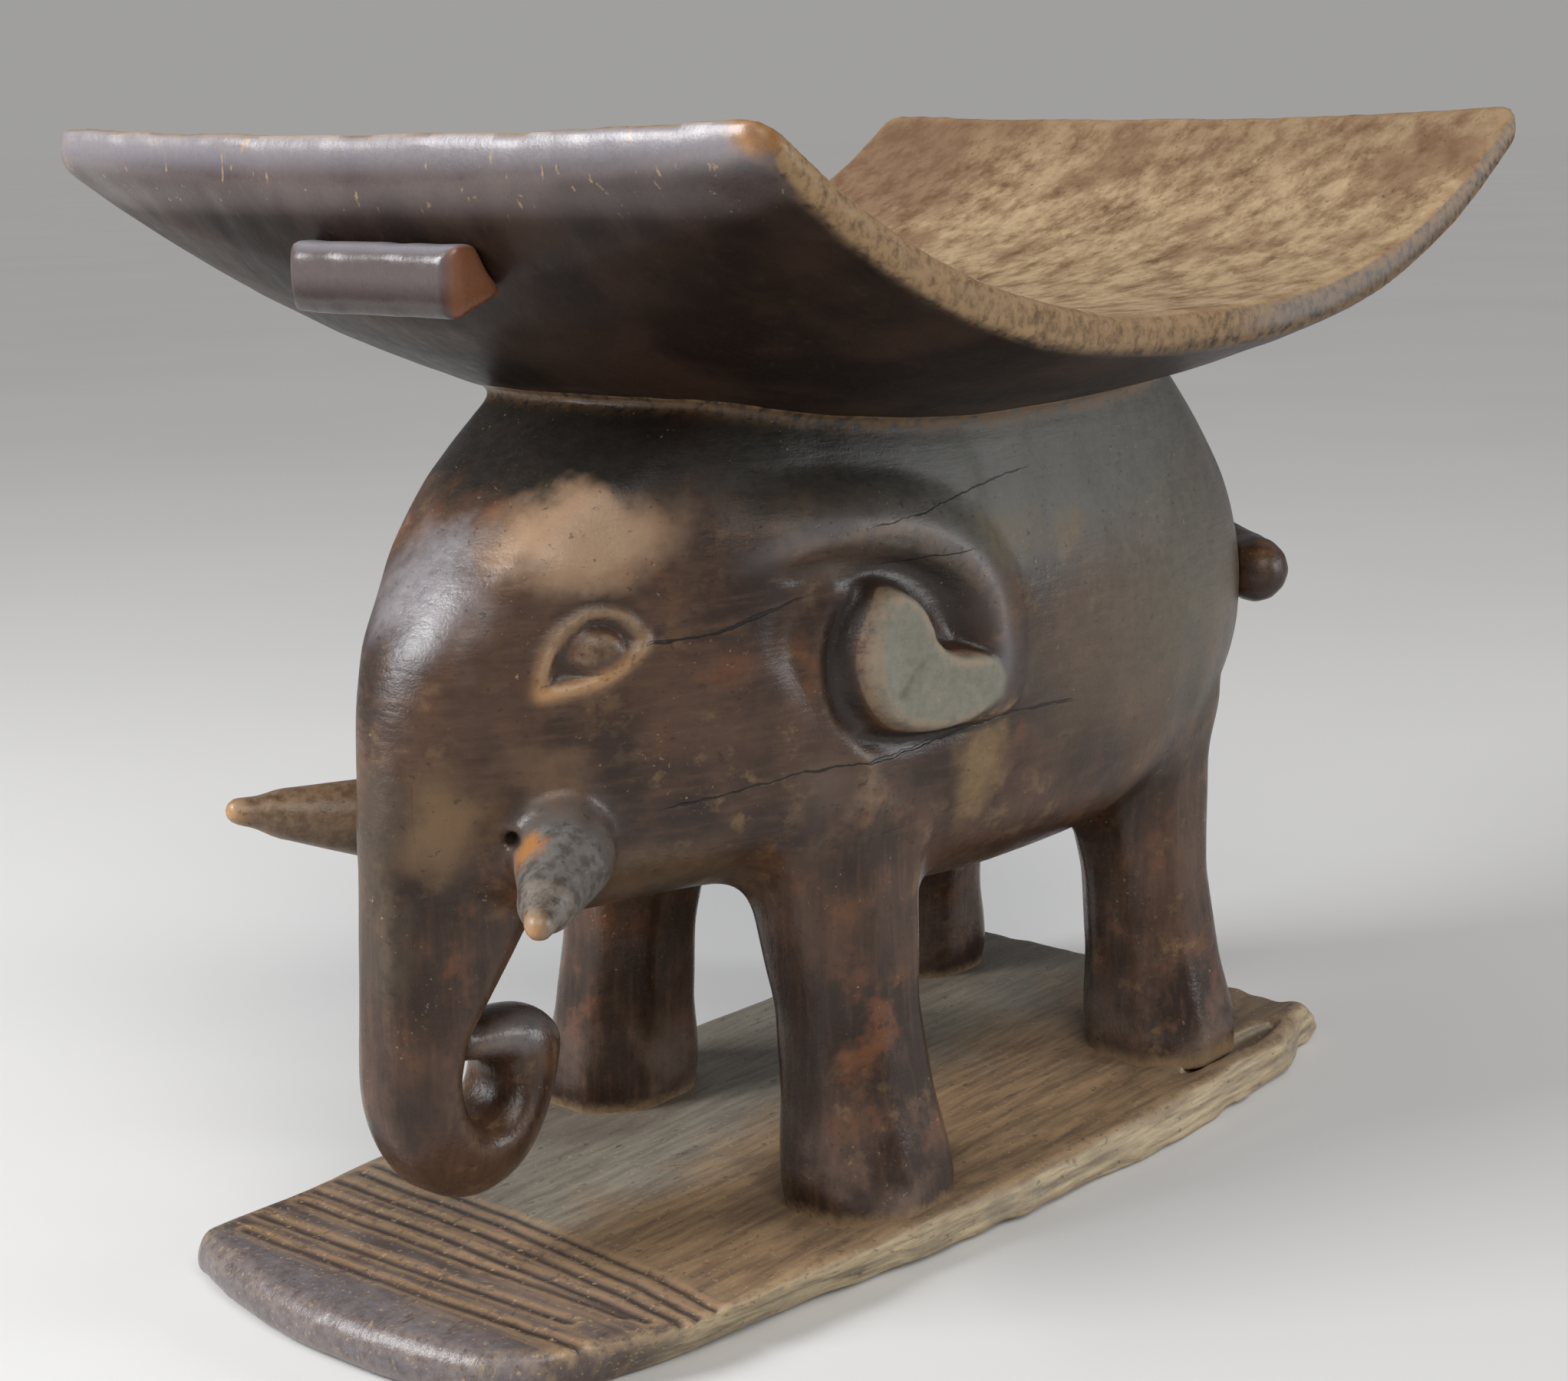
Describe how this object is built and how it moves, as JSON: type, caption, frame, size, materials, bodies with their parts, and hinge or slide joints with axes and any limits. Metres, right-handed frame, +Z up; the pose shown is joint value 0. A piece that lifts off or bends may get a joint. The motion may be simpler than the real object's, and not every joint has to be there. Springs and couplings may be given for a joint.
{
  "type": "carved elephant stool",
  "caption": "Low carved wooden stool: a saddle-shaped seat on the back of a standing elephant with a curled trunk, on a thin plank base.",
  "frame": {"origin": "on the surface the stool stands on, under the middle of its bounding box", "axes": "+X from the elephant's head to its rump, along the stool; +Y across it, to the elephant's right; +Z up"},
  "size_m": [0.54, 0.338, 0.4208],
  "materials": {
    "polished_wood": "dark reddish-brown handled wood, waxy sheen, grey bloom and worn tan spots",
    "seat_wood": "dark brown wood, worn light tan on top, nearly black underneath",
    "plank_wood": "dry weathered wood, tan and grey-green, splintered along one side"
  },
  "bodies": {
    "root": {"body": "polished_wood", "head": "polished_wood", "trunk": "polished_wood", "left_tusk": "polished_wood", "right_tusk": "polished_wood", "left_ear": "polished_wood", "right_ear": "polished_wood", "left_eye": "polished_wood", "right_eye": "polished_wood", "front_left_leg": "polished_wood", "front_right_leg": "polished_wood", "rear_left_leg": "polished_wood", "rear_right_leg": "polished_wood", "tail": "polished_wood", "seat": "seat_wood", "front_lug": "seat_wood", "rear_lug": "seat_wood", "plank": "plank_wood"}
  },
  "joints": []
}
